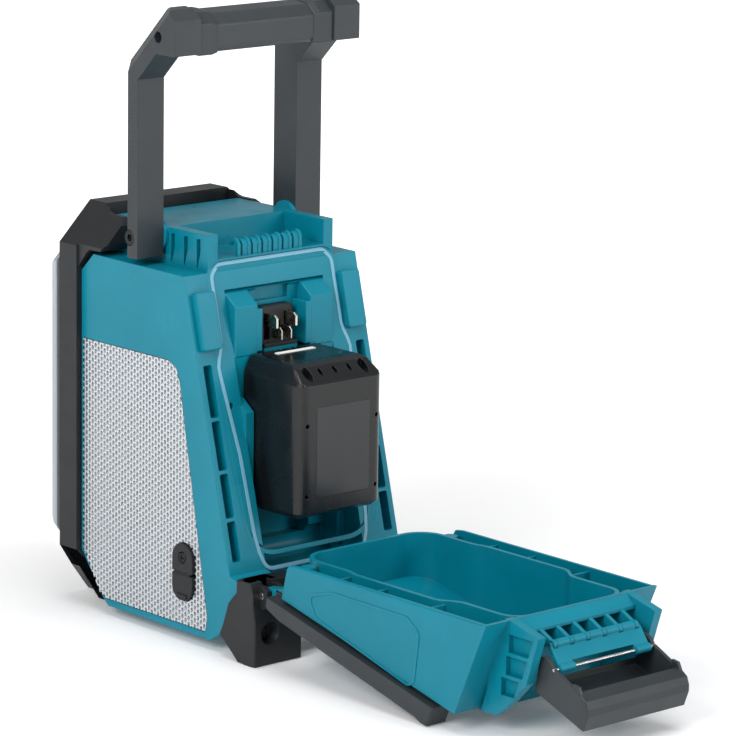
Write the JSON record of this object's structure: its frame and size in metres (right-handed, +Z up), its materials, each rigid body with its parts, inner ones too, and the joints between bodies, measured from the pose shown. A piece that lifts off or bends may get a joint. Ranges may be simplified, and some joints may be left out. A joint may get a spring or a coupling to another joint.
{
  "type": "jobsite radio",
  "caption": "Rugged jobsite radio with side speakers, carrying handle, a hinged rear door held by a draw latch, and a slide-on battery pack in its bay.",
  "frame": {"origin": "middle of the outline seen from above, on the ground", "axes": "+Z up, -Y towards the front panel, +Y towards the open battery door, +X towards the side with the socket cover"},
  "size_m": [0.165, 0.5116, 0.4345],
  "materials": {
    "teal_body": "satin moulded plastic",
    "charcoal": "fine grained moulded plastic",
    "black_frame": "fine grained moulded plastic",
    "key_grey": "soft key caps",
    "silver_trim": "painted silver plastic",
    "grille_metal": "perforated sheet with silver paint",
    "seal_rubber": "matt moulded rubber",
    "steel": "plated steel",
    "lens": "clear smoked window",
    "screen": "dark display",
    "cone": "treated paper",
    "board": "coated circuit board",
    "pale_strip": "moulded strip"
  },
  "bodies": {
    "radio_body": {"rear_housing": "teal_body", "gasket": "seal_rubber", "front_bumper": "black_frame", "front_trim": "silver_trim", "front_panel": "black_frame", "display_lens": "lens", "display_module": "screen", "tuning_encoder": "steel", "tweeter_guards": "grille_metal", "tweeters": "cone", "main_board": "board", "side_grille_right": "grille_metal", "side_grille_left": "grille_metal", "woofer_frame_right": "black_frame", "woofer_frame_left": "black_frame", "woofer_cone_right": "cone", "woofer_cone_left": "cone", "woofer_magnets": "steel", "usb_cover_pad": "seal_rubber", "usb_screw": "steel", "port_sockets": "steel", "terminal_block": "black_frame", "terminal_blades": "steel", "rear_foot": "black_frame", "foot_bolts": "steel", "hinge_pins": "steel"},
    "handle": {"handle_arm_right": "charcoal", "handle_arm_left": "charcoal", "handle_grip": "charcoal", "grip_core": "steel", "handle_bolts": "steel", "grip_screws": "steel"},
    "door": {"door_shell": "teal_body", "door_rail_right": "charcoal", "door_rail_left": "charcoal", "link_pin": "steel"},
    "link": {"latch_link": "charcoal", "latch_bar": "steel"},
    "lever": {"latch_lever": "charcoal"},
    "battery": {"battery_case": "black_frame", "battery_guard": "pale_strip", "battery_screws": "steel"},
    "release": {"battery_button": "black_frame"},
    "knob": {"tuning_knob": "charcoal"},
    "cover": {"usb_cover": "seal_rubber"},
    "key_1": {"panel_button_1": "key_grey"},
    "key_2": {"panel_button_2": "key_grey"},
    "key_3": {"panel_button_3": "key_grey"},
    "key_4": {"panel_button_4": "key_grey"},
    "key_5": {"panel_button_5": "key_grey"},
    "key_6": {"panel_button_6": "key_grey"}
  },
  "joints": [
    {"name": "door_hinge", "type": "hinge", "parent": "radio_body", "child": "door", "pos_m": [0, -0.0249, 0.04896], "axis": [1, 0, 0], "range_deg": [0, 104.18]},
    {"name": "link_hinge", "type": "hinge", "parent": "door", "child": "link", "pos_m": [0, 0.2139, 0.0626], "axis": [1, 0, 0], "range_deg": [0, 90]},
    {"name": "lever_hinge", "type": "hinge", "parent": "link", "child": "lever", "pos_m": [0, 0.2238, 0.0492], "axis": [1, 0, 0], "range_deg": [-50, 20]},
    {"name": "handle_hinge", "type": "hinge", "parent": "radio_body", "child": "handle", "pos_m": [0, -0.1594, 0.2742], "axis": [1, 0, 0], "range_deg": [-88, 0]},
    {"name": "battery_slide", "type": "slide", "parent": "radio_body", "child": "battery", "axis": [0, 0, 1], "range_m": [-0.02, 0.012]},
    {"name": "battery_button_slide", "type": "slide", "parent": "battery", "child": "release", "axis": [0, 0, 1], "range_m": [0, 0.003], "stiffness_N_per_m": 600},
    {"name": "tuning_knob_turn", "type": "hinge", "parent": "radio_body", "child": "knob", "pos_m": [0, -0.2488, 0.141], "axis": [0, 1, 0], "continuous": true},
    {"name": "usb_cover_hinge", "type": "hinge", "parent": "radio_body", "child": "cover", "pos_m": [0.0784, -0.1048, 0.0485], "axis": [0, 1, 0], "range_deg": [-95, 0]},
    {"name": "key_1_slide", "type": "slide", "parent": "radio_body", "child": "key_1", "axis": [0, 1, 0], "range_m": [0, 0.0015], "stiffness_N_per_m": 800},
    {"name": "key_2_slide", "type": "slide", "parent": "radio_body", "child": "key_2", "axis": [0, 1, 0], "range_m": [0, 0.0015], "stiffness_N_per_m": 800},
    {"name": "key_3_slide", "type": "slide", "parent": "radio_body", "child": "key_3", "axis": [0, 1, 0], "range_m": [0, 0.0015], "stiffness_N_per_m": 800},
    {"name": "key_4_slide", "type": "slide", "parent": "radio_body", "child": "key_4", "axis": [0, 1, 0], "range_m": [0, 0.0015], "stiffness_N_per_m": 800},
    {"name": "key_5_slide", "type": "slide", "parent": "radio_body", "child": "key_5", "axis": [0, 1, 0], "range_m": [0, 0.0015], "stiffness_N_per_m": 800},
    {"name": "key_6_slide", "type": "slide", "parent": "radio_body", "child": "key_6", "axis": [0, 1, 0], "range_m": [0, 0.0015], "stiffness_N_per_m": 800}
  ]
}
